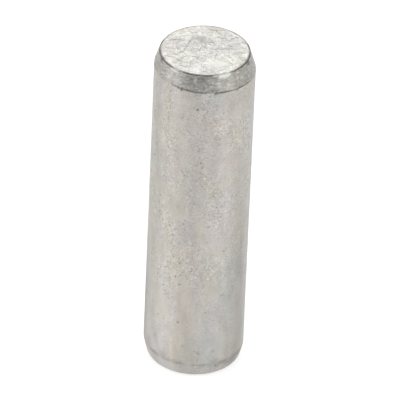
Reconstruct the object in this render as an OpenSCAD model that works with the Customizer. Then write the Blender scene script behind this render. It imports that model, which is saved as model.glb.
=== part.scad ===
// Cylindrical steel pin with a conical lead-in chamfer at each end.
// It stands on its foot: +Z runs along the pin, and the origin is the centre of the foot's end face.

/* [Shank] */
// Diameter of the ground shank
shank_d = 10; // [4:0.5:20]
// Length over both end faces
pin_l = 36; // [24:1:100]

/* [Top end] */
// Length of the top chamfer along the pin
top_chamfer_l = 1.7; // [0.5:0.1:4]
// How far the top chamfer narrows the radius
top_chamfer_in = 0.54; // [0.2:0.02:1]
// Radius of the worn rim round the top face
top_rim_r = 0.16; // [0.05:0.01:0.4]
// How far the top chamfer's cone sits off the shank's axis, towards -X
top_runout = 0.06; // [0:0.01:0.12]

/* [Foot end] */
// Length of the foot chamfer along the pin
foot_chamfer_l = 1.6; // [0.5:0.1:4]
// How far the foot chamfer narrows the radius
foot_chamfer_in = 0.38; // [0.2:0.02:1]
// Radius of the rounded rim of the foot's face
foot_rim_r = 0.65; // [0.05:0.05:1]
// How far the foot chamfer's cone sits off the shank's axis, towards +X
foot_runout = 0.04; // [0:0.01:0.12]

/* [Tool lines] */
// Depth of the fine line that the tool leaves where a chamfer meets the shank
line_depth = 0.04; // [0.02:0.01:0.08]
// Radius of the tool's corner that leaves this line
line_r = 0.1; // [0.08:0.01:0.3]

/* [Hidden] */
// Sides of a round in the preview
$fn = 96;
shank_r = shank_d / 2;
// The solids that trim the bar stand this far outside it
spare = 0.5;
// A rim's arc is this much larger than the tangent one, so that it crosses the sides it blends and its edges are clean
rim_overlap = 0.001;

// Section of the space inside one end's chamfer, with the end face on the X axis: the straight cone side runs from
// the face to past the shank, and an arc that blends into both rounds the rim.
module end_section(chamfer_l, chamfer_in, rim_r) {
    lean = atan(chamfer_in / chamfer_l);
    face_r = shank_r - chamfer_in;
    tangent = rim_r / tan((90 + lean) / 2);
    wide_r = shank_r + spare;
    wide_z = (wide_r - face_r) / tan(lean);
    polygon([
        [0, 0],
        [face_r - tangent, 0],
        [face_r + tangent * sin(lean), tangent * cos(lean)],
        [wide_r, wide_z],
        [wide_r, pin_l + spare],
        [0, pin_l + spare],
    ]);
    translate([face_r - tangent, rim_r])
        circle(rim_r + rim_overlap);
}

// Everything that one end's chamfer leaves, standing on that end's face
module end_envelope(chamfer_l, chamfer_in, rim_r, runout) {
    translate([runout, 0, 0])
        rotate_extrude()
            end_section(chamfer_l, chamfer_in, rim_r);
}

// Ring that cuts the tool line. A cone off the axis meets the shank along a slanting line, and the ring slants with it.
module tool_line(chamfer_l, chamfer_in, runout) {
    slant = atan(runout * chamfer_l / (chamfer_in * shank_r));
    translate([0, 0, chamfer_l])
        rotate([0, slant, 0])
            rotate_extrude()
                translate([shank_r + line_r - line_depth, 0])
                    circle(line_r);
}

// Turns something made for the foot over, so that it stands at the top end
module at_top() {
    translate([0, 0, pin_l])
        mirror([0, 0, 1])
            children();
}

module pin() {
    color("silver")
    difference() {
        intersection() {
            cylinder(r = shank_r, h = pin_l);
            end_envelope(foot_chamfer_l, foot_chamfer_in, foot_rim_r, foot_runout);
            at_top() end_envelope(top_chamfer_l, top_chamfer_in, top_rim_r, -top_runout);
        }
        tool_line(foot_chamfer_l, foot_chamfer_in, foot_runout);
        at_top() tool_line(top_chamfer_l, top_chamfer_in, -top_runout);
    }
}

pin();
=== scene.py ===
# A zinc-plated steel pin, chamfered at both ends, stands on its foot on white paper in soft studio light.
import math
import bpy
from mathutils import Matrix, Vector


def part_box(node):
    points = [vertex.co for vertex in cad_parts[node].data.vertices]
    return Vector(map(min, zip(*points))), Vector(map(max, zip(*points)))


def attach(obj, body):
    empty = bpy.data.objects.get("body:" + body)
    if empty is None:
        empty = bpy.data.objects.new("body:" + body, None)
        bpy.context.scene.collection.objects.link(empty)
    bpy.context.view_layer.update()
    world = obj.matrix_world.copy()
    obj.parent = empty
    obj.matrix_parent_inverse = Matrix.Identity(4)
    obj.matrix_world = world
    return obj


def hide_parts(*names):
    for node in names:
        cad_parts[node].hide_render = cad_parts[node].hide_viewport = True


mm = 0.001
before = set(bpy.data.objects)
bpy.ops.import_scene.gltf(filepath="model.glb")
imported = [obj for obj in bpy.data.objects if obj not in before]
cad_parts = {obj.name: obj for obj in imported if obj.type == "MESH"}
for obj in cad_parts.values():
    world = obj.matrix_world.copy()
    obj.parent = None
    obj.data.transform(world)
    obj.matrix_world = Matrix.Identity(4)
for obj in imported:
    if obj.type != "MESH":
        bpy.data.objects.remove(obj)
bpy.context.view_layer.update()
pinLow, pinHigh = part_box("pin")
shankRadius = (pinHigh[1] - pinLow[1]) / 2 / mm
pinLength = (pinHigh[2] - pinLow[2]) / mm
print(f"frame loaded: a pin {2 * shankRadius:.2f} mm across and {pinLength:.2f} mm long")


# The first helpers add nodes to a tree. A value is a number, a vector or another node's output.
def feed(tree, socket, value):
    if isinstance(value, bpy.types.NodeSocket):
        tree.links.new(value, socket)
    else:
        socket.default_value = value


def addNode(tree, kind, inputs=None, **settings):
    node = tree.nodes.new(kind)
    for name, value in settings.items():
        setattr(node, name, value)
    for name, value in (inputs or {}).items():
        feed(tree, node.inputs[name], value)
    return node


def calc(tree, operation, *values):  # one step of arithmetic
    node = addNode(tree, "ShaderNodeMath", operation=operation)
    for socket, value in zip(node.inputs, values):
        feed(tree, socket, value)
    return node.outputs[0]


def calcAll(tree, operation, values):  # the same step over and over, from the first value on
    result = values[0]
    for value in values[1:]:
        result = calc(tree, operation, result, value)
    return result


def total(tree, *values):
    return calcAll(tree, "ADD", values)


def product(tree, *values):
    return calcAll(tree, "MULTIPLY", values)


def oneLess(tree, value):  # what is left of 1
    return calc(tree, "SUBTRACT", 1.0, value)


def swing(tree, value, amount):  # a noise from 0 to 1 turned into a swing about 0
    return product(tree, calc(tree, "SUBTRACT", value, 0.5), amount)


def vecCalc(tree, operation, *values):
    node = addNode(tree, "ShaderNodeVectorMath", operation=operation)
    for socket, value in zip(node.inputs, values):
        feed(tree, socket, value)
    return node.outputs["Value"] if operation in ("DOT_PRODUCT", "LENGTH") else node.outputs["Vector"]


def scaled(tree, vector, factor):
    node = addNode(tree, "ShaderNodeVectorMath", {"Vector": vector, "Scale": factor}, operation="SCALE")
    return node.outputs["Vector"]


def parts(tree, vector):
    return addNode(tree, "ShaderNodeSeparateXYZ", {"Vector": vector}).outputs


def joined(tree, x, y, z):
    return addNode(tree, "ShaderNodeCombineXYZ", {"X": x, "Y": y, "Z": z}).outputs[0]


def ramp(tree, value, fromLow, fromHigh, toLow, toHigh, smooth=False):
    kind = "SMOOTHSTEP" if smooth else "LINEAR"
    inputs = {"Value": value, "From Min": fromLow, "From Max": fromHigh, "To Min": toLow, "To Max": toHigh}
    return addNode(tree, "ShaderNodeMapRange", inputs, interpolation_type=kind).outputs["Result"]


def noise(tree, vector, waves, detail=2.0, roughness=0.5, distortion=0.0):  # with its waves counted in a mm
    scale = 1.0
    if isinstance(waves, tuple):    # along x, y and z
        vector = vecCalc(tree, "MULTIPLY", vector, waves)
    else:
        scale = waves
    inputs = {"Vector": vector, "Scale": scale, "Detail": detail, "Roughness": roughness,
              "Distortion": distortion}
    return addNode(tree, "ShaderNodeTexNoise", inputs).outputs


def cells(tree, vector, scale):  # a surface broken into small flat plates
    inputs = {"Vector": vector, "Scale": scale, "Randomness": 1.0}
    return addNode(tree, "ShaderNodeTexVoronoi", inputs).outputs


# the pin's half section in mm, from the middle of the foot's face up to the middle of the top face
section = {
    "top": {"chamferLength": 1.7, "chamferIn": 0.54, "rimRadius": 0.16, "runout": -0.06},
    "foot": {"chamferLength": 1.6, "chamferIn": 0.38, "rimRadius": 0.65, "runout": 0.04},
    "lineDepth": 0.04,    # the fine line that the tool left where a chamfer meets the shank
    "lineRadius": 0.1,
    "slantReach": 4.0,    # how far along the shank a line's slant fades out
    "sides": 256,
    "rings": {"footFace": 8, "footRim": 10, "footChamfer": 12, "footLine": 8, "shank": 226,
              "topLine": 12, "topChamfer": 30, "topRim": 10, "topFace": 58},
    "zones": {    # the zones that the finish tells apart
        "faceDepth": 0.02,        # the top face ends this far under the top
        "faceOverRim": 0.04,      # and this far out from where the rim starts
        "faceFade": 0.15,
        "rimLineDepth": 0.04,     # the dark line round the rim, painted shade with some grime
        "rimLineReach": 0.1,
        "rimLineAbove": 0.5,      # which starts this far above the tool line
        "toolLineReach": 0.13,    # the dark line, painted shade with some grime, where the top chamfer meets the shank
        "toolLineStrength": 0.9,
        "smearAndShadeReach": 0.45,       # the softer one, painted shade with some smear, where the foot's chamfer does
    },
}


def steps(first, last, count):  # count values from first towards last, which itself is left out
    return [first + (last - first) * i / count for i in range(count)]


def nearness(distance, reach):  # 1 on the spot, falling to 0 at the reach
    return max(0.0, 1 - abs(distance) / reach)


def radiusAt(height):
    top, foot, lineRadius = section["top"], section["foot"], section["lineRadius"]
    footSide = shankRadius - foot["chamferIn"] * (1 - height / foot["chamferLength"])
    topSide = shankRadius - top["chamferIn"] * (1 - (pinLength - height) / top["chamferLength"])
    radius = min(shankRadius, footSide, topSide)
    for lineHeight in (foot["chamferLength"], pinLength - top["chamferLength"]):
        away = abs(height - lineHeight)
        if away < lineRadius:
            arc = math.sqrt(lineRadius ** 2 - away ** 2)
            radius = min(radius, shankRadius + lineRadius - section["lineDepth"] - arc)
    return radius


def endFace(end, faceRings, rimRings):  # from the middle of an end out round its rim, as (radius, depth)
    lean = math.atan2(end["chamferIn"], end["chamferLength"])
    corner = shankRadius - end["chamferIn"]
    rimRadius = end["rimRadius"]
    tangent = rimRadius / math.tan((math.pi / 2 + lean) / 2)
    flat = [(radius, 0.0) for radius in steps(0.0, corner - tangent, faceRings)]
    turn = [(corner - tangent + rimRadius * math.sin(angle), rimRadius * (1 - math.cos(angle)))
            for angle in steps(0.0, math.pi / 2 - lean, rimRings)]
    return flat + turn, tangent * math.cos(lean)


def halfSection():
    rings, line = section["rings"], section["lineRadius"]
    footLine = section["foot"]["chamferLength"]
    topLine = pinLength - section["top"]["chamferLength"]
    footPoints, footRimTop = endFace(section["foot"], rings["footFace"], rings["footRim"])
    topPoints, topRimDepth = endFace(section["top"], rings["topFace"], rings["topRim"])
    heights = steps(footRimTop, footLine - line, rings["footChamfer"])
    heights += steps(footLine - line, footLine + line, rings["footLine"])
    heights += steps(footLine + line, topLine - line, rings["shank"])
    heights += steps(topLine - line, topLine + line, rings["topLine"])
    heights += steps(topLine + line, pinLength - topRimDepth, rings["topChamfer"])
    heights.append(pinLength - topRimDepth)
    points = footPoints + [(radiusAt(height), height) for height in heights]
    return points + [(radius, pinLength - depth) for radius, depth in reversed(topPoints)]


def runoutAt(height):  # how far a chamfer cut off the axis shifts, and the slant of its tool line
    shift = slant = 0.0
    for end, depth in ((section["foot"], height), (section["top"], pinLength - height)):
        share = depth / end["chamferLength"]
        slope = -abs(end["runout"]) * end["chamferLength"] / (end["chamferIn"] * shankRadius)
        if share < 1:
            shift += end["runout"] * (1 - share)
            slant += slope * share
        else:
            slant += slope * max(0.0, 1 - (depth - end["chamferLength"]) / section["slantReach"])
    return shift, slant


def zonesAt(radius, height):  # how far a point belongs to the top face, to a chamfer and to a dark line
    top, footLine, zones = section["top"], section["foot"]["chamferLength"], section["zones"]
    topLine = pinLength - top["chamferLength"]
    rimInner = shankRadius - top["chamferIn"] - top["rimRadius"]
    faceEdge = pinLength - zones["faceDepth"]
    onFace = 0.0
    if height > faceEdge:
        onFace = min(1.0, max(0.0, (rimInner + zones["faceOverRim"] - radius) / zones["faceFade"]))
    rimLine = 0.0
    if height > topLine + zones["rimLineAbove"] and radius > rimInner:
        rimLine = nearness(height - (pinLength - zones["rimLineDepth"]), zones["rimLineReach"])
    toolLine = zones["toolLineStrength"] * nearness(height - topLine, zones["toolLineReach"])
    return {
        "face": onFace,
        "cut": 1.0 if topLine < height <= faceEdge else 0.0,
        "footCut": 1.0 if height < footLine else 0.0,
        "line": max(rimLine, toolLine),
        "smear": nearness(height - footLine, zones["smearAndShadeReach"]),
    }


def sectionMesh():
    points = halfSection()
    mesh = bpy.data.meshes.new("pinSection")
    edges = [(i, i + 1) for i in range(len(points) - 1)]
    mesh.from_pydata([(radius * mm, 0, height * mm) for radius, height in points], edges, [])
    rows = []
    for radius, height in points:
        shift, slant = runoutAt(height)
        rows.append({"shift": shift * mm, "slant": slant, **zonesAt(radius, height)})
    for name in rows[0]:
        layer = mesh.attributes.new(name, "FLOAT", "POINT")
        layer.data.foreach_set("value", [row[name] for row in rows])
    return mesh, len(points)


# Marks of use and of painted light, each as angle from the front in degrees, height, radius and depth in
# mm, and tone. A tone below 0 darkens, as grime or painted shade, and one above 0 paints a highlight. On
# the top face x and y in mm take the place of angle and height.
wear = {
    "pits": [
        (14, 34.26, 0.28, 0.02, -0.8), (-30, 34.28, 0.24, 0.02, -0.6), (-26, 34.24, 0.32, 0.02, -0.9),
        (17, 34.2, 0.18, 0.02, -0.4), (41, 34.2, 0.22, 0.02, -0.5), (-6, 32.3, 0.2, 0.04, -0.9),
        (0, 26.0, 0.15, 0.03, -0.9), (2, 25.5, 0.14, 0.03, -0.9), (0, 24.9, 0.14, 0.03, -0.5),
        (12, 18.4, 0.15, 0.03, -0.7), (34, 9.8, 0.14, 0.03, -0.6), (42, 9.3, 0.13, 0.03, -0.5),
        (-19, 6.6, 0.16, 0.03, -0.8), (-24, 12.1, 0.14, 0.03, -0.6), (-10, 12.1, 0.13, 0.03, -0.5),
        (-19, 11.2, 0.15, 0.03, -0.7), (23, 3.2, 0.16, 0.03, -0.5), (34, 1.4, 0.22, 0.02, -0.3),
        (45, 1.2, 0.2, 0.02, -0.3), (28, 1.3, 0.16, 0.03, -0.6), (31, 1.05, 0.14, 0.03, -0.5),
        (39, 1.4, 0.14, 0.03, -0.3), (-65, 24.9, 0.18, 0.03, -0.7), (-52, 19.9, 0.15, 0.03, -0.6),
        (138, 27.5, 0.18, 0.04, -0.8), (175, 14.0, 0.2, 0.04, -0.8), (-150, 21.0, 0.16, 0.03, -0.7),
        (110, 6.0, 0.16, 0.03, -0.6),
    ],
    "glints": [    # small knocks in bent lines with painted glints, as their bends, then radius, depth and tone
        ([(-45, 35.8), (-39, 35.8), (-33, 35.74)], 0.18, 0.01, 0.42),
        ([(13, 35.92), (18, 35.9)], 0.2, 0.02, 0.7),
        ([(21, 35.8), (27, 35.8), (34, 35.9)], 0.36, 0.02, 0.8),
        ([(150, 35.86), (158, 35.84)], 0.22, 0.03, 0.7),
        ([(-121, 35.88), (-115, 35.86)], 0.2, 0.03, 0.7),
        ([(3, 1.42), (5, 1.36)], 0.14, 0.02, 0.35),
        ([(24, 1.2), (26, 1.25)], 0.14, 0.02, 0.35),
    ],
    "smudges": [    # smudges and painted light: dark and bright spots where the top chamfer mirrors the dark room and the lamps, a darker rim at the sides, and dark smudges at the foot; these and the line gaps have no depth
        (-3, 35.4, 0.7, -0.4), (-17, 35.3, 0.6, -0.3), (-68, 35.9, 0.5, -0.6), (70, 35.85, 0.5, -0.6),
        (-46, 35.0, 0.5, 0.2), (-33, 34.9, 0.5, 0.2), (18, 35.0, 0.5, 0.2), (30, 34.7, 0.4, 0.15),
        (52, 1.4, 1.0, -0.3), (-62, 2.3, 1.0, -0.12), (-38, 1.9, 0.9, -0.2), (27, 1.6, 1.0, -0.2),
        (165, 35.2, 0.8, -0.3), (-130, 34.8, 0.6, 0.2), (-15, 1.65, 0.5, -0.22), (-22, 1.7, 0.5, -0.2),
        (44, 1.4, 0.8, -0.25), (2, 1.55, 0.3, -0.2), (9, 1.55, 0.3, -0.2),
    ],
    "lineGaps": [    # where a dark line of grime and painted shade is left out: rubbed away in places, lit at the glints and round the back of the rim, with the share of it that is gone as the tone
        (9, 34.25, 0.7, 0.9), (-3, 34.3, 0.6, 0.3), (-46, 34.4, 1.2, 0.7), (-66, 34.4, 1.3, 0.8),
        (-36, 35.95, 0.9, 1.0), (25, 35.95, 1.0, 1.0), (-93, 35.95, 0.6, 0.5), (92, 35.95, 0.6, 0.5),
        (125, 35.95, 2.2, 0.6), (180, 35.95, 3.2, 0.6), (-125, 35.95, 2.2, 0.6), (-5, 1.6, 0.9, 0.75),
        (6, 1.6, 0.9, 0.65), (17, 1.6, 0.8, 0.5), (78, 34.1, 0.9, 0.6), (140, 34.2, 1.0, 0.8),
        (-160, 34.3, 0.7, 0.7),
    ],
    "faceDents": [
        (-0.5, 2.2, 0.8, 0.03, -0.15), (0.5, 1.8, 0.6, 0.02, -0.12), (1.3, -2.4, 1.1, 0.03, 0.12),
        (2.4, 1.2, 0.5, 0.03, 0.1), (-0.4, -3.5, 0.6, 0.02, 0.12), (-2.9, 2.4, 0.5, 0.03, 0.1),
    ],
    "scratches": [    # on the top face, given as the glints are
        ([(-1.3, 2.2), (-1.7, 1.3), (-1.9, 0.6), (-2.0, 0.2), (-2.3, -0.4)], 0.14, 0.03, -0.3),
        ([(-3.8, 1.5), (-3.2, 1.8), (-2.4, 2.0)], 0.13, 0.02, -0.2),
        ([(-3.0, -0.8), (-2.6, -0.6), (-2.3, -0.2)], 0.12, 0.02, -0.2),
        ([(-2.4, -2.4), (-1.9, -2.1), (-1.4, -2.2)], 0.12, 0.02, -0.25),
        ([(2.6, -0.6), (2.9, -0.2), (3.4, 0.1)], 0.12, 0.02, -0.15),
        ([(0.9, 2.9), (1.3, 2.5), (2.0, 2.3)], 0.12, 0.02, -0.2),
    ],
    "paintedSheensAndTints": [    # painted sheen and shade, bands for the lamps' reflections and the floor's shadows, with tints: angle, height, half their width and height, brightness, warmth, greenness
        (-33, 6, 2.8, 15, 0.19, -0.01, -0.01), (26, 20, 2.0, 13, 0.14, -0.01, 0.0),
        (62, 6, 2.6, 14, -0.16, 0.0, 0.0), (70, 28, 2.2, 10, 0.07, -0.01, 0.0),
        (-24, 29, 2.6, 9, 0.06, 0.01, 0.0), (-86, 6, 2.0, 13, -0.35, -0.02, 0.01),
        (-72, 21, 1.8, 10, -0.06, 0.01, 0.03), (50, 18, 1.8, 14, -0.09, 0.01, 0.01),
        (-52, 26, 2.0, 7, -0.08, 0.02, 0.02), (-52, 35.2, 1.6, 0.9, -0.06, 0.01, 0.0),
        (-6, 22, 2.0, 4, -0.03, -0.03, -0.02), (-3, 6.5, 1.4, 3, 0.0, 0.03, 0.0),
        (40, 10, 2.4, 6, -0.02, -0.03, -0.01), (-16, 12, 2.0, 6, 0.02, 0.05, 0.02),
        (8, 6, 1.8, 6, 0.02, -0.04, -0.02), (33, 26, 2.2, 5, 0.0, 0.02, 0.0),
        (9, 29, 1.6, 7, -0.05, 0.02, 0.0), (-30, 18.5, 1.4, 2.5, 0.12, 0.0, -0.02),
        (-44, 4, 1.8, 4, 0.02, -0.03, -0.03), (-19, 3, 1.4, 4, -0.06, 0.05, 0.04),
        (22, 4, 1.6, 4, 0.0, -0.04, -0.01), (36, 33, 3.4, 2.2, -0.07, 0.0, 0.0),
        (4, 24.5, 1.6, 2.5, -0.06, 0.0, 0.0), (74, 7, 1.8, 8, 0.0, -0.03, 0.0),
        (-16, 6.5, 2.0, 3, 0.0, 0.02, 0.01), (10, 33, 1.8, 3, 0.0, -0.03, 0.0),
        (44, 12.5, 1.8, 4, 0.0, -0.02, 0.0), (-52, 13, 1.4, 2.5, 0.0, 0.02, 0.01),
        (24, 18.5, 1.6, 2.5, 0.0, 0.03, 0.0), (140, 12, 2.6, 14, 0.14, 0.01, 0.0),
        (-160, 24, 2.2, 12, 0.12, -0.02, 0.0), (-118, 8, 2.4, 12, -0.12, 0.02, 0.0),
        (105, 26, 2.0, 10, -0.08, -0.02, 0.01),
    ],
    "facePaintedSheensAndTints": [    # and painted sheen and shade of the top face, with tints: x, y, reach, brightness, warmth, greenness
        (1.4, -2.6, 2.2, 0.13, 0.0, 0.0), (-0.6, 2.2, 1.3, -0.19, 0.0, 0.0),
        (1.2, 3.4, 1.2, -0.06, 0.01, 0.0), (-3.3, 1.1, 1.4, -0.1, 0.01, 0.0),
        (2.7, 1.1, 1.6, -0.08, 0.0, 0.0), (-2.8, -0.8, 1.6, 0.0, 0.02, 0.0),
        (-0.8, -0.8, 1.4, -0.12, 0.0, 0.0), (0.3, -1.9, 1.1, 0.12, 0.0, 0.0),
        (-3.4, -1.9, 1.0, 0.07, 0.0, 0.0), (-1.5, -2.2, 0.9, -0.12, 0.0, 0.0),
        (0.2, -3.2, 1.4, -0.14, 0.0, 0.0), (2.6, -2.9, 0.9, 0.08, 0.0, 0.0),
        (-0.6, 3.7, 1.2, -0.04, 0.01, -0.02),
    ],
    "calmAreas": [    # smooth spots of the top face: x, y, reach and how smooth
        (1.4, -2.5, 1.7, 1.0), (-0.3, 2.1, 1.0, 0.8), (2.9, 0.9, 0.8, 0.7), (-3.0, -1.4, 0.9, 0.5),
        (-0.2, 3.6, 0.9, 0.7),
    ],
    "faceAreaDepth": 0.6,     # how far down such an area of the top face reaches, in mm
    "spotSpacing": 0.5,       # from spot to spot of a bent line, in radii
    "bowlBottom": 0.8,        # a mark is at its full depth from this share of the way in to its middle
    "randomPitsPerSquareMm": 0.6,
    "randomPitRadius": (0.05, 0.13),
    "randomPitDepth": (0.0028, 0.014),
    "randomPitTone": (-0.75, 0.1),
    "seed": 11,
}

markKinds = ("pits", "glints", "smudges", "lineGaps", "faceDents", "scratches")


def onSide(angle, height):
    turn = math.radians(angle - 90)
    shift, slant = runoutAt(height)
    x = radiusAt(height) * math.cos(turn) + shift
    return x * mm, radiusAt(height) * math.sin(turn) * mm, (height + slant * x) * mm


def onFace(x, y):
    return x * mm, y * mm, pinLength * mm


def marksObject(name, spots):  # spots are (place, radius, depth, tone)
    mesh = bpy.data.meshes.new(name)
    mesh.from_pydata([spot[0] for spot in spots], [], [])
    for column, attribute in enumerate(("radius", "depth", "tone"), 1):
        layer = mesh.attributes.new(attribute, "FLOAT", "POINT")
        layer.data.foreach_set("value", [spot[column] for spot in spots])
    item = bpy.data.objects.new(name, mesh)
    bpy.context.scene.collection.objects.link(item)
    return item


def alongLine(place, bends, radius, depth, tone):  # spots close enough to run together
    spots = []
    for first, last in zip(bends, bends[1:]):
        count = math.ceil(math.dist(place(*first), place(*last)) / (wear["spotSpacing"] * radius * mm))
        spots += [(place(*(a + (b - a) * i / count for a, b in zip(first, last))), radius, depth, tone)
                  for i in range(count)]
    return spots


def makeMarks():  # one object of points for each kind of mark
    spots = {
        "pits": [(onSide(*mark[:2]), *mark[2:]) for mark in wear["pits"]],
        "faceDents": [(onFace(*mark[:2]), *mark[2:]) for mark in wear["faceDents"]],
    }
    for kind in ("smudges", "lineGaps"):
        spots[kind] = [(onSide(angle, height), radius, 0.0, tone)
                       for angle, height, radius, tone in wear[kind]]
    for kind, place in (("glints", onSide), ("scratches", onFace)):
        spots[kind] = [spot for line in wear[kind] for spot in alongLine(place, *line)]
    return {kind: marksObject(kind, spots[kind]) for kind in markKinds}


relief = {
    "heights": {    # in mm, which the pin's tree takes in by these names
        "Shank waves": 0.02,
        "Shank peel": 0.02,
        "Broad folds": 0.1,
        "Fine folds": 0.02,
        "Plate tilt": 0.15,       # a slope, for the small flat plates of the top face
        "Face depth": 0.03,       # how far the folded face lies under its rim
        "Chamfer marks": 0.02,
        "Chamfer dents": 0.05,
        "Rim wobble": 0.05,
    },
    "ripples": {    # waves in a mm, detail and roughness of the noise behind some of them
        "Shank waves": (0.3, 1.0),
        "Shank peel": (1.5, 3.0, 0.6),
        "Chamfer marks": ((0.18, 0.18, 4.5), 2.0),
        "Chamfer dents": (1.1, 2.0, 0.6),
        "Rim wobble": (0.9, 3.0, 0.7),
    },
    "folding": {    # the top face was cropped, so its metal lies in folds and small tilted plates
        "stretch": (1.0, 0.75, 1.0),    # the folds run a little longer from front to back
        "bendWaves": 0.9,               # in a mm, of the bend that keeps them from running straight
        "bend": 1.6,
        # folds by name, waves in a mm and a shift to the side, which gives each its own noise
        "ridges": {"folds": [("Broad folds", 0.8, 0), ("Fine folds", 2.2, 7)],
                   "detail": 0.5, "bluntness": 0.0},
        "valleys": {"folds": [("Broad folds", 1.1, 13), ("Fine folds", 2.8, 19)],
                    "detail": 0.5, "bluntness": 0.05},
        "platesPerMm": 1.8,
        "tiltShade": 0.6,               # painted shade and wear: how a plate's tilt and the depth of the metal show in its colour
        "depthShade": (-0.06, 0.0, -0.5, 0.5),
    },
}


def namedField(tree, name):
    node = addNode(tree, "GeometryNodeInputNamedAttribute", {"Name": name}, data_type="FLOAT")
    return node.outputs["Attribute"]


def sampleAt(tree, geometry, value, index, kind="FLOAT"):
    node = addNode(tree, "GeometryNodeSampleIndex", {"Geometry": geometry, "Index": index},
                   data_type=kind, domain="POINT")
    feed(tree, node.inputs["Value"], value)
    return node.outputs["Value"]


def store(tree, geometry, name, value):
    node = addNode(tree, "GeometryNodeStoreNamedAttribute", {"Geometry": geometry, "Name": name},
                   data_type="FLOAT", domain="POINT")
    feed(tree, node.inputs["Value"], value)
    return node.outputs["Geometry"]


def bowl(tree, points, position):  # each vertex takes the mark of the nearest point: its depth and its tone
    nearest = addNode(tree, "GeometryNodeSampleNearest", {"Geometry": points, "Sample Position": position},
                      domain="POINT").outputs["Index"]
    radius, depth, tone = (sampleAt(tree, points, namedField(tree, name), nearest)
                           for name in ("radius", "depth", "tone"))
    centre = sampleAt(tree, points, position, nearest, "FLOAT_VECTOR")
    away = vecCalc(tree, "LENGTH", scaled(tree, vecCalc(tree, "SUBTRACT", position, centre), 1 / mm))
    inside = calc(tree, "MAXIMUM", oneLess(tree, calc(tree, "DIVIDE", away, radius)), 0.0)
    shape = ramp(tree, inside, 0.0, wear["bowlBottom"], 0.0, 1.0, smooth=True)
    return product(tree, shape, depth), product(tree, shape, tone)


def softAreas(tree, inMm, areas):  # a sum of soft spots, each given as its centre, its reach and its amount
    spots = []
    for centre, reach, amount in areas:
        apart = vecCalc(tree, "SUBTRACT", inMm, [part / mm for part in centre])
        away = vecCalc(tree, "LENGTH", vecCalc(tree, "DIVIDE", apart, reach))
        spots.append(ramp(tree, away, 0.0, 1.0, amount, 0.0, smooth=True))
    return total(tree, *spots)


def paintedSheenAndTintAreas(kind):  # 0 for brightness, the painted sheen and shade, 1 for warmth and 2 for greenness
    areas = [(onSide(angle, height), (across, across, up), amounts[kind])
             for angle, height, across, up, *amounts in wear["paintedSheensAndTints"]]
    areas += [(onFace(x, y), (reach, reach, wear["faceAreaDepth"]), amounts[kind])
              for x, y, reach, *amounts in wear["facePaintedSheensAndTints"]]
    return [area for area in areas if area[2]]


def spinSection(tree, given, position):  # a grid, a column for each side and a row for each ring, rolled up
    columns = total(tree, given["Sides"], 1)
    grid = addNode(tree, "GeometryNodeMeshGrid", {
        "Size X": 1.0, "Size Y": 1.0, "Vertices X": columns, "Vertices Y": given["Rings"]})
    place = parts(tree, position)
    turn = product(tree, total(tree, place["X"], 0.5), 2 * math.pi)
    row = product(tree, total(tree, place["Y"], 0.5), calc(tree, "SUBTRACT", given["Rings"], 1))
    ring = calc(tree, "ROUND", row)
    flat = grid.outputs["Mesh"]
    for name in ("shift", "slant", "face", "cut", "footCut", "line", "smear"):
        flat = store(tree, flat, name, sampleAt(tree, given["Geometry"], namedField(tree, name), ring))
    onSection = parts(tree, sampleAt(tree, given["Geometry"], position, ring, "FLOAT_VECTOR"))
    x = total(tree, product(tree, onSection["X"], calc(tree, "COSINE", turn)), namedField(tree, "shift"))
    y = product(tree, onSection["X"], calc(tree, "SINE", turn))
    z = total(tree, onSection["Z"], product(tree, namedField(tree, "slant"), x))
    rolled = addNode(tree, "GeometryNodeSetPosition", {"Geometry": flat, "Position": joined(tree, x, y, z)})
    closed = addNode(tree, "GeometryNodeMergeByDistance", {"Geometry": rolled.outputs[0], "Distance": 1e-6})
    return closed.outputs[0]


def scatterPits(tree, given, surface):  # random pits everywhere but on the top face
    def between(limits, offset):
        seed = total(tree, given["Seed"], offset)
        node = addNode(tree, "FunctionNodeRandomValue", {"Seed": seed}, data_type="FLOAT")
        node.inputs[2].default_value = limits[0]
        node.inputs[3].default_value = limits[1]
        return node.outputs[1]

    inputs = {"Mesh": surface, "Seed": given["Seed"],
              "Selection": calc(tree, "LESS_THAN", namedField(tree, "face"), 0.5),
              "Density": product(tree, given["Pits per square mm"], 1 / mm ** 2)}
    spots = addNode(tree, "GeometryNodeDistributePointsOnFaces", inputs).outputs["Points"]
    spots = store(tree, spots, "radius", between(wear["randomPitRadius"], 1))
    spots = store(tree, spots, "depth", between(wear["randomPitDepth"], 2))
    return store(tree, spots, "tone", between(wear["randomPitTone"], 3))


def creases(tree, given, bent, kind):  # smooth slopes that meet in lines, the blunter the rounder
    slopes = []
    for name, waves, shift in kind["folds"]:
        moved = vecCalc(tree, "ADD", bent, (shift, 0, 0))
        side = calc(tree, "SUBTRACT", noise(tree, moved, waves, kind["detail"])[0], 0.5)
        squared = total(tree, product(tree, side, side), kind["bluntness"] ** 2)
        slopes.append(product(tree, calc(tree, "SQRT", squared), given[name]))
    return total(tree, *slopes)


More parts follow.
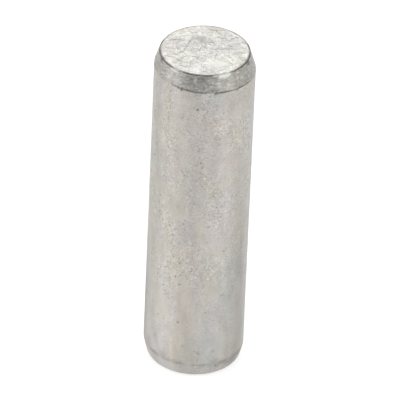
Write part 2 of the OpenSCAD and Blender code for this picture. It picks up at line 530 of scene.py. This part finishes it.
def croppedFace(tree, given, inMm):  # the top face's height, its painted shade, and how calm it is
    folding = relief["folding"]
    middle = (0.5, 0.5, 0.5)
    bend = vecCalc(tree, "SUBTRACT", noise(tree, inMm, folding["bendWaves"], 1.0)["Color"], middle)
    bent = vecCalc(tree, "ADD", vecCalc(tree, "MULTIPLY", inMm, folding["stretch"]),
                   scaled(tree, bend, folding["bend"]))
    ridges = creases(tree, given, bent, folding["ridges"])
    valleys = creases(tree, given, bent, folding["valleys"])
    cell = cells(tree, bent, folding["platesPerMm"])
    tilt = vecCalc(tree, "SUBTRACT", cell["Color"], middle)
    slope = vecCalc(tree, "DOT_PRODUCT", tilt, vecCalc(tree, "SUBTRACT", bent, cell["Position"]))
    folded = total(tree, valleys, product(tree, ridges, -1.0), product(tree, slope, given["Plate tilt"]),
                   product(tree, given["Face depth"], -1.0))
    calm = softAreas(tree, inMm, [(onFace(x, y), (reach, reach, wear["faceAreaDepth"]), amount)
                                  for x, y, reach, amount in wear["calmAreas"]])
    rough = product(tree, calc(tree, "MINIMUM", folded, 0.0), oneLess(tree, calm))
    pressed = calc(tree, "SUBTRACT", rough, product(tree, calm, given["Face depth"]))
    shade = total(tree, product(tree, parts(tree, tilt)["X"], folding["tiltShade"]),
                  ramp(tree, pressed, *folding["depthShade"]))
    return pressed, shade, calm


def addInput(tree, name, kind, default):
    tree.interface.new_socket(name, in_out="INPUT", socket_type=kind).default_value = default


def buildPinTree(ringCount):
    tree = bpy.data.node_groups.new("spinAndWear", "GeometryNodeTree")
    tree.interface.new_socket("Geometry", in_out="INPUT", socket_type="NodeSocketGeometry")
    tree.interface.new_socket("Geometry", in_out="OUTPUT", socket_type="NodeSocketGeometry")
    addInput(tree, "Sides", "NodeSocketInt", section["sides"])
    addInput(tree, "Rings", "NodeSocketInt", ringCount)
    addInput(tree, "Seed", "NodeSocketInt", wear["seed"])
    addInput(tree, "Pits per square mm", "NodeSocketFloat", wear["randomPitsPerSquareMm"])
    for kind in markKinds:
        tree.interface.new_socket(kind, in_out="INPUT", socket_type="NodeSocketObject")
    tree.interface.new_socket("Plate", in_out="INPUT", socket_type="NodeSocketMaterial")
    for name, value in relief["heights"].items():
        addInput(tree, name, "NodeSocketFloat", value)
    given = addNode(tree, "NodeGroupInput").outputs
    position = addNode(tree, "GeometryNodeInputPosition").outputs["Position"]
    inMm = scaled(tree, position, 1 / mm)
    closed = spinSection(tree, given, position)

    # marks
    points = {"random": scatterPits(tree, given, closed)}
    for kind in markKinds:
        points[kind] = addNode(tree, "GeometryNodeObjectInfo", {"Object": given[kind]}).outputs["Geometry"]
    bowls = {kind: bowl(tree, spots, position) for kind, spots in points.items()}
    sunk = total(tree, *(depth for depth, tone in bowls.values()))
    tone = total(tree, *(tone for kind, (depth, tone) in bowls.items() if kind != "lineGaps"))
    leftOfLine = oneLess(tree, bowls["lineGaps"][1])

    # height of the surface in mm
    def ripple(name):
        return swing(tree, noise(tree, inMm, *relief["ripples"][name])[0], given[name])

    face, cut, line, smear = (namedField(tree, name) for name in ("face", "cut", "line", "smear"))
    onBody = oneLess(tree, calc(tree, "MAXIMUM", face, cut))
    bodyHeight = product(tree, total(tree, ripple("Shank waves"), ripple("Shank peel")), onBody)
    pressed, faceShade, calm = croppedFace(tree, given, inMm)
    cutHeight = product(tree, total(tree, ripple("Chamfer marks"), ripple("Chamfer dents")), cut)
    wobble = product(tree, ripple("Rim wobble"), line)
    raised = total(tree, bodyHeight, product(tree, pressed, face), cutHeight, wobble)
    height = calc(tree, "SUBTRACT", raised, sunk)

    # what the finish reads, held by the vertices
    finish = {"worn": product(tree, faceShade, face), "tone": tone, "calm": calm}
    # painted sheen and shade, and the warmth and greenness of the film
    for kind, name in enumerate(("sheen", "warmth", "greenness")):
        finish[name] = softAreas(tree, inMm, paintedSheenAndTintAreas(kind))
    finish["line"] = product(tree, line, leftOfLine)
    finish["smear"] = product(tree, smear, leftOfLine)
    held = closed
    for name, value in finish.items():
        held = store(tree, held, name, value)

    normal = addNode(tree, "GeometryNodeInputNormal").outputs["Normal"]
    offset = scaled(tree, normal, product(tree, height, mm))
    pushed = addNode(tree, "GeometryNodeSetPosition", {"Geometry": held, "Offset": offset}).outputs[0]
    smooth = addNode(tree, "GeometryNodeSetShadeSmooth", {"Geometry": pushed}).outputs[0]
    real = addNode(tree, "GeometryNodeRealizeInstances", {"Geometry": smooth}).outputs[0]
    plated = addNode(tree, "GeometryNodeSetMaterial", {"Geometry": real, "Material": given["Plate"]})
    addNode(tree, "NodeGroupOutput", {"Geometry": plated.outputs[0]})
    return tree


# the zinc plate: its colours, and how strongly each thing shows in it
plate = {
    "metallic": 0.92,
    "shank": (0.53, 0.508, 0.479, 1),
    "chamfer": (0.408, 0.396, 0.372, 1),
    "footChamfer": (0.5, 0.49, 0.48, 1),
    "face": (0.607, 0.597, 0.565, 1),
    # dark, for grime and for the painted shade of the lines and the dark smudges
    "grimeAndShade": (0.07, 0.066, 0.058, 1),
    "paintedShine": (0.86, 0.86, 0.84, 1),    # painted highlight of the glints and the bright smudges
    "tints": [(0.36, (0.985, 0.995, 1.015)), (0.43, (1.02, 0.99, 0.985)), (0.5, (1, 1, 1)),
              (0.57, (0.985, 1.005, 0.975)), (0.64, (1.015, 1.0, 0.96))],
    "faceTints": [(0.36, (0.995, 0.99, 1.01)), (0.44, (1.012, 0.992, 0.988)), (0.5, (1, 1, 1)),
                  (0.56, (0.988, 1.004, 0.994)), (0.64, (1.0, 1.004, 0.98))],
    "faceShades": [(0.25, 0.84), (0.5, 1.0), (0.75, 1.19), (1.0, 1.4)],
    "chamferShades": [(0.25, 0.65), (0.5, 1.0), (0.9, 1.8)],
    "chamferTint": 0.5,
    "footChamferShare": 0.3,
    "faceGrain": 0.8,
    "faceWearAndShade": 0.12,
    "faceDim": -0.07,
    "calming": 0.7,           # how much a calm area hides of the face's marks
    "facetsPerMm": 2.2,
    "facetFray": 0.9,          # mm
    "cutLines": 0.35,
    "cutGrain": 0.65,
    "lineShadeAndGrime": 0.84,
    "grimeAndShadeRoughness": 0.75,
    "bump": 0.35,
    "bumpDistance": 0.00004,
    "faceBump": 1.6,
    "chamferBump": 3.0,
    "patterns": {    # waves in a mm, detail, roughness and distortion of each
        "tint": ((0.5, 0.5, 0.18), 1.0, 0.5, 0.5),
        "islands": ((0.55, 0.55, 0.3), 2.0),
        "grain": (2.8, 2.5, 0.6, 1.5),
        "speck": (5.5, 1.0),
        "streak": ((0.5, 0.5, 0.06), 3.0, 0.6),
        "cloud": ((1.0, 1.0, 0.6), 2.0),
        "faceGrain": ((2.6, 1.95, 2.6), 3.0, 0.65, 1.2),
        "faceCrease": ((1.3, 0.975, 1.3), 2.0, 0.6, 1.0),
        "creaseIslands": ((1.0, 0.75, 1.0), 1.0),
        "faceCloud": (0.5, 1.0),
        "faceTint": (0.45, 1.0, 0.5, 0.6),
        "flake": ((3.6, 2.7, 3.6), 2.0, 0.6),
        "fray": (2.0, 2.0, 0.6),
        "fleck": ((3.24, 3.24, 5.76), 2.0, 0.65),
        "cutLines": ((0.8, 0.8, 4.0), 2.0, 0.6),
        "cutGrain": (2.6, 3.0, 0.7),
        "around": (0.7, 3.0, 0.6),
    },
    "levels": {    # two values of a pattern or a mark, and what it comes to at each of them
        "islands": (0.4, 0.6, 0.35, 1.0),
        "islandsByHeight": (4.0, 16.0, 0.4, 1.15),    # in mm: the grain is fainter near the foot
        "grain": (0.3, 0.7, -0.2, 0.2),
        "darkSpecks": (0.22, 0.4, -0.44, 0.0),
        "brightSpecks": (0.6, 0.76, 0.0, 0.26),
        "streak": (0.3, 0.7, -0.09, 0.09),
        "cloud": (0.3, 0.7, -0.06, 0.06),
        # painted highlights along the creases
        "creases": (0.0, 0.035, 0.5, 0.0),
        "creaseIslands": (0.4, 0.6, 0.1, 1.0),
        "faceCloud": (0.3, 0.7, -0.18, 0.12),
        "flakes": (0.56, 0.7, 0.0, 0.4),
        "facetShades": (0.0, 1.0, -0.16, 0.16),
        "darkFlecks": (0.3, 0.45, -0.22, 0.0),
        "brightFlecks": (0.55, 0.68, 0.0, 0.26),
        "lineBreaks": (0.35, 0.6, 0.5, 0.0),
        "smearAndShadeBreaks": (0.35, 0.6, 0.1, 0.35),
        "grimeAndShadeByTone": (0.0, -1.0, 0.0, 0.8),
        "paintedShineByTone": (0.0, 1.0, 0.0, 0.85),
        "shankRoughness": (0.3, 0.7, 0.5, 0.6),
        "cutRoughness": (0.35, 0.65, 0.4, 0.5),
        "faceRoughness": (0.3, 0.7, 0.24, 0.36),
    },
}


def level(tree, value, name, smooth=False):
    return ramp(tree, value, *plate["levels"][name], smooth)


def mixColour(tree, factor, first, second, blend="MIX"):
    node = addNode(tree, "ShaderNodeMix", data_type="RGBA", blend_type=blend)
    feed(tree, node.inputs["Factor"], factor)
    feed(tree, node.inputs[6], first)
    feed(tree, node.inputs[7], second)
    return node.outputs[2]


def mixValue(tree, factor, first, second):
    node = addNode(tree, "ShaderNodeMix", data_type="FLOAT")
    feed(tree, node.inputs[0], factor)
    feed(tree, node.inputs[2], first)
    feed(tree, node.inputs[3], second)
    return node.outputs[0]


def colourRamp(tree, value, stops):
    node = addNode(tree, "ShaderNodeValToRGB", {"Fac": value})
    elements = node.color_ramp.elements
    while len(elements) < len(stops):
        elements.new(1.0)
    for element, (place, colour) in zip(elements, stops):
        element.position = place
        element.color = (*colour, 1)
    return node.outputs["Color"]


def shadedBy(tree, colour, value, shades):
    stops = [(place, (shade, shade, shade)) for place, shade in shades]
    return mixColour(tree, 1.0, colour, colourRamp(tree, value, stops), "MULTIPLY")


def shankColour(tree, seen, held, islands, tint):  # a warm grey film, streaks, and grain in islands
    graining = total(tree, level(tree, seen["grain"], "grain"), level(tree, seen["speck"], "darkSpecks"),
                     level(tree, seen["speck"], "brightSpecks"))
    shade = total(tree, 1.0, product(tree, graining, islands, total(tree, 1.0, held["footCut"])),
                  level(tree, seen["streak"], "streak"), level(tree, seen["cloud"], "cloud"))
    tinted = mixColour(tree, 1.0, plate["shank"], tint, "MULTIPLY")
    return vecCalc(tree, "MULTIPLY", tinted, joined(tree, shade, shade, shade))


def faceColour(tree, inMm, seen, held):  # clean and bright, with the flakes of the crop, painted highlights along its creases, and painted shade that differs from facet to facet
    # painted highlights: crisp bright lines along the creases
    crease = calc(tree, "ABSOLUTE", calc(tree, "SUBTRACT", seen["faceCrease"], 0.5))
    creaseHighlights = product(tree, level(tree, crease, "creases", smooth=True),
                      level(tree, seen["creaseIslands"], "creaseIslands"))
    # painted facet shade: small cells of the face are lighter or darker, as tilted facets of crumpled metal
    # are
    fray = scaled(tree, noise(tree, inMm, *plate["patterns"]["fray"])["Color"], plate["facetFray"])
    frayed = vecCalc(tree, "ADD", vecCalc(tree, "MULTIPLY", inMm, relief["folding"]["stretch"]), fray)
    facet = parts(tree, cells(tree, frayed, plate["facetsPerMm"])["Color"])["X"]
    marks = total(tree, swing(tree, seen["faceGrain"], plate["faceGrain"]),
                  product(tree, held["worn"], plate["faceWearAndShade"]), creaseHighlights,
                  level(tree, seen["flake"], "flakes"), level(tree, facet, "facetShades"), plate["faceDim"])
    left = oneLess(tree, product(tree, held["calm"], plate["calming"]))
    shade = total(tree, 0.5, product(tree, marks, left), level(tree, seen["faceCloud"], "faceCloud"))
    tint = colourRamp(tree, seen["faceTint"], plate["faceTints"])
    tinted = mixColour(tree, 1.0, plate["face"], tint, "MULTIPLY")
    return shadedBy(tree, tinted, shade, plate["faceShades"])


def zincPlate():
    material = bpy.data.materials.new("zincPlate")
    material.use_nodes = True
    tree = material.node_tree
    shader = tree.nodes["Principled BSDF"]
    shader.inputs["Metallic"].default_value = plate["metallic"]
    inMm = scaled(tree, addNode(tree, "ShaderNodeTexCoord").outputs["Object"], 1 / mm)
    seen = {name: noise(tree, inMm, *pattern)[0] for name, pattern in plate["patterns"].items()
            if name != "fray"}
    held = {name: addNode(tree, "ShaderNodeAttribute", attribute_name=name).outputs["Fac"]
            for name in ("face", "cut", "footCut", "line", "smear", "tone", "calm", "worn",
                         "sheen", "warmth", "greenness")}

    # the shank, the chamfers and the top face
    tint = colourRamp(tree, seen["tint"], plate["tints"])
    islands = product(tree, level(tree, seen["islands"], "islands"),
                      level(tree, parts(tree, inMm)["Z"], "islandsByHeight"))
    cutGrain = total(tree, product(tree, seen["cutLines"], plate["cutLines"]),
                     product(tree, seen["cutGrain"], plate["cutGrain"]),
                     level(tree, seen["fleck"], "darkFlecks"), level(tree, seen["fleck"], "brightFlecks"))
    chamfer = mixColour(tree, plate["chamferTint"], plate["chamfer"], tint, "MULTIPLY")
    colour = mixColour(tree, product(tree, held["footCut"], plate["footChamferShare"]),
                       shankColour(tree, seen, held, islands, tint), plate["footChamfer"])
    colour = mixColour(tree, held["cut"], colour, shadedBy(tree, chamfer, cutGrain, plate["chamferShades"]))
    colour = mixColour(tree, held["face"], colour, faceColour(tree, inMm, seen, held))

    # broad areas: brighter or darker as painted sheen and shade, and warmer or greener tints
    lit = total(tree, 1.0, held["sheen"])
    areas = joined(tree, total(tree, lit, held["warmth"]), total(tree, lit, held["greenness"]),
                   calc(tree, "SUBTRACT", lit, held["warmth"]))
    colour = vecCalc(tree, "MULTIPLY", colour, areas)

    # grime in the pits, painted shade with some grime at the rim and in the tool lines, painted reflections
    # in the dark and bright smudges, and painted glints
    lineStart = level(tree, seen["around"], "lineBreaks")
    lineMask = product(tree, ramp(tree, held["line"], lineStart, 1.0, 0.0, 1.0), plate["lineShadeAndGrime"])
    smearAndShadeMask = product(tree, ramp(tree, held["smear"], 0.0, 1.0, 0.0, 1.0, smooth=True),
                        level(tree, seen["around"], "smearAndShadeBreaks"))
    grimeAndShade = calcAll(tree, "MAXIMUM", (lineMask, smearAndShadeMask, level(tree, held["tone"], "grimeAndShadeByTone")))
    colour = mixColour(tree, grimeAndShade, colour, plate["grimeAndShade"])
    # painted highlight where a mark's tone is above 0
    colour = mixColour(tree, level(tree, held["tone"], "paintedShineByTone"), colour, plate["paintedShine"])
    feed(tree, shader.inputs["Base Color"], colour)

    rough = mixValue(tree, held["cut"], level(tree, seen["grain"], "shankRoughness"),
                     level(tree, cutGrain, "cutRoughness"))
    rough = mixValue(tree, held["face"], rough, level(tree, seen["faceGrain"], "faceRoughness"))
    feed(tree, shader.inputs["Roughness"], mixValue(tree, grimeAndShade, rough, plate["grimeAndShadeRoughness"]))

    height = total(tree, product(tree, seen["grain"], islands),
                   product(tree, seen["faceGrain"], held["face"], plate["faceBump"]),
                   product(tree, cutGrain, held["cut"], plate["chamferBump"]))
    bump = addNode(tree, "ShaderNodeBump", {
        "Strength": plate["bump"], "Distance": plate["bumpDistance"], "Height": height})
    feed(tree, shader.inputs["Normal"], bump.outputs["Normal"])
    return material


def setInput(modifier, tree, name, value):  # by the socket's identifier
    for socket in tree.interface.items_tree:
        if socket.name == name and socket.in_out == "INPUT":
            modifier[socket.identifier] = value


def makePin():
    mesh, ringCount = sectionMesh()
    blank = bpy.data.objects.new("pinBlank", mesh)
    bpy.context.scene.collection.objects.link(blank)
    tree = buildPinTree(ringCount)
    marks = makeMarks()
    modifier = blank.modifiers.new("spinAndWear", "NODES")
    modifier.node_group = tree
    values = {"Sides": section["sides"], "Rings": ringCount, "Seed": wear["seed"],
              "Pits per square mm": wear["randomPitsPerSquareMm"], "Plate": zincPlate(),
              **marks, **relief["heights"]}
    for name, value in values.items():
        setInput(modifier, tree, name, value)
    graph = bpy.context.evaluated_depsgraph_get()
    finished = bpy.data.meshes.new_from_object(blank.evaluated_get(graph), depsgraph=graph)
    finished.name = "wornPin"
    piece = bpy.data.objects.new("wornPin", finished)
    bpy.context.scene.collection.objects.link(piece)
    for helper in (blank, *marks.values()):    # the modifier goes with the blank
        bpy.data.objects.remove(helper)
    return piece


wornPin = makePin()
triangles = sum(len(polygon.vertices) - 2 for polygon in wornPin.data.polygons)
print(f"pin spun and worn: {len(wornPin.data.vertices)} vertices, {triangles} triangles")
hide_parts("pin")
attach(wornPin, "root")


studio = {
    "paperRadius": 1.2,       # m
    "paperSides": 96,
    "paper": (0.6, 0.6, 0.6, 1),
    "paperRoughness": 0.9,
    "paperGlow": 0.61,        # lifts the paper to white, as the camera sees it
    "mirroredGlow": 0.54,     # and as the metal mirrors it
    "sky": 0.72,
    "skyFrom": 0.6,           # the height at which the sky reaches its full strength, as a sine
    "sideHorizon": 0.37,
    "frontHorizon": 0.15,     # the dark room behind the camera
    "frontReach": 0.9,
    "aim": (0, 0, 0.018),     # the pin's middle, which the lamps face
    # azimuth from the front and elevation in degrees, distance, width and height in m, and strength
    "lamps": {
        "leftStrip": (-77, 6, 0.7, 0.45, 0.16, 3.2),
        "rightStrip": (53, 6, 0.7, 0.36, 0.16, 2.8),
        "leftPanel": (-77, 50, 0.8, 0.5, 0.5, 1.05),
        "rightPanel": (53, 50, 0.8, 0.5, 0.5, 0.85),
        "backPanel": (180, 46, 0.8, 0.7, 0.6, 0.8),
    },
}


def makePaper():
    mesh = bpy.data.meshes.new("paper")
    sides, radius = studio["paperSides"], studio["paperRadius"]
    angles = [2 * math.pi * i / sides for i in range(sides)]
    ring = [(radius * math.cos(angle), radius * math.sin(angle), 0) for angle in angles]
    mesh.from_pydata(ring, [], [tuple(range(sides))])
    paper = bpy.data.objects.new("paper", mesh)
    bpy.context.scene.collection.objects.link(paper)
    material = bpy.data.materials.new("whitePaper")
    material.use_nodes = True
    tree = material.node_tree
    shader = tree.nodes["Principled BSDF"]
    shader.inputs["Base Color"].default_value = studio["paper"]
    shader.inputs["Roughness"].default_value = studio["paperRoughness"]
    shader.inputs["Specular IOR Level"].default_value = 0.0
    shader.inputs["Emission Color"].default_value = (1, 1, 1, 1)
    rays = addNode(tree, "ShaderNodeLightPath").outputs
    mirrored = calc(tree, "MAXIMUM", rays["Is Glossy Ray"], rays["Is Transmission Ray"])
    glow = total(tree, product(tree, rays["Is Camera Ray"], studio["paperGlow"]),
                 product(tree, mirrored, studio["mirroredGlow"]))
    feed(tree, shader.inputs["Emission Strength"], glow)
    mesh.materials.append(material)


def makeSky():
    world = bpy.data.worlds.new("softTent")
    bpy.context.scene.world = world
    world.use_nodes = True
    tree = world.node_tree
    background = tree.nodes["Background"]
    background.inputs["Color"].default_value = (1, 1, 1, 1)
    toward = parts(tree, addNode(tree, "ShaderNodeTexCoord").outputs["Generated"])
    front = ramp(tree, product(tree, toward["Y"], -1.0), 0.0, studio["frontReach"], 0.0, 1.0, smooth=True)
    low = mixValue(tree, front, studio["sideHorizon"], studio["frontHorizon"])
    strength = ramp(tree, toward["Z"], 0.0, studio["skyFrom"], low, studio["sky"])
    feed(tree, background.inputs["Strength"], strength)


def softbox(name, azimuth, elevation, distance, width, height, radiance):
    light = bpy.data.lights.new(name, "AREA")
    light.shape = "RECTANGLE"
    light.size = width
    light.size_y = height
    light.energy = radiance * math.pi * width * height
    item = bpy.data.objects.new(name, light)
    bpy.context.scene.collection.objects.link(item)
    a, e = math.radians(azimuth), math.radians(elevation)
    out = Vector((math.sin(a) * math.cos(e), -math.cos(a) * math.cos(e), math.sin(e)))
    item.location = Vector(studio["aim"]) + out * distance
    item.rotation_euler = out.to_track_quat("Z", "Y").to_euler()


view = {
    "elevation": 34.73,    # degrees
    "roll": 2.444,
    "distance": 844.0,     # mm
    "pixelsPerMm": 10.103,
    "imageSide": 400,      # pixels
    "sensor": 36.0,        # mm
    "nudgeRight": 0.079,   # mm, how far the view's middle lies from the pin's
    "nudgeUp": 0.146,
}


def makeCamera():
    data = bpy.data.cameras.new("camera")
    data.sensor_width = view["sensor"]
    data.lens = view["sensor"] * view["pixelsPerMm"] * view["distance"] / view["imageSide"]
    data.clip_start = 0.01
    data.clip_end = 10
    camera = bpy.data.objects.new("camera", data)
    bpy.context.scene.collection.objects.link(camera)
    e, roll = math.radians(view["elevation"]), math.radians(view["roll"])
    back = Vector((0, -math.cos(e), math.sin(e)))
    right, up = Vector((1, 0, 0)), Vector((0, math.sin(e), math.cos(e)))
    imageRight = math.cos(roll) * right + math.sin(roll) * up
    imageUp = math.cos(roll) * up - math.sin(roll) * right
    middle = Vector((0, 0, pinLength / 2)) + view["nudgeRight"] * imageRight + view["nudgeUp"] * imageUp
    place = (middle + back * view["distance"]) * mm
    columns = Matrix((imageRight, imageUp, back)).transposed().to_4x4()
    camera.matrix_world = Matrix.Translation(place) @ columns
    bpy.context.scene.camera = camera


makePaper()
makeSky()
for lampName, lampPlace in studio["lamps"].items():
    softbox(lampName, *lampPlace)
makeCamera()
bpy.context.scene.view_settings.view_transform = "Standard"
print("paper, light and camera set")
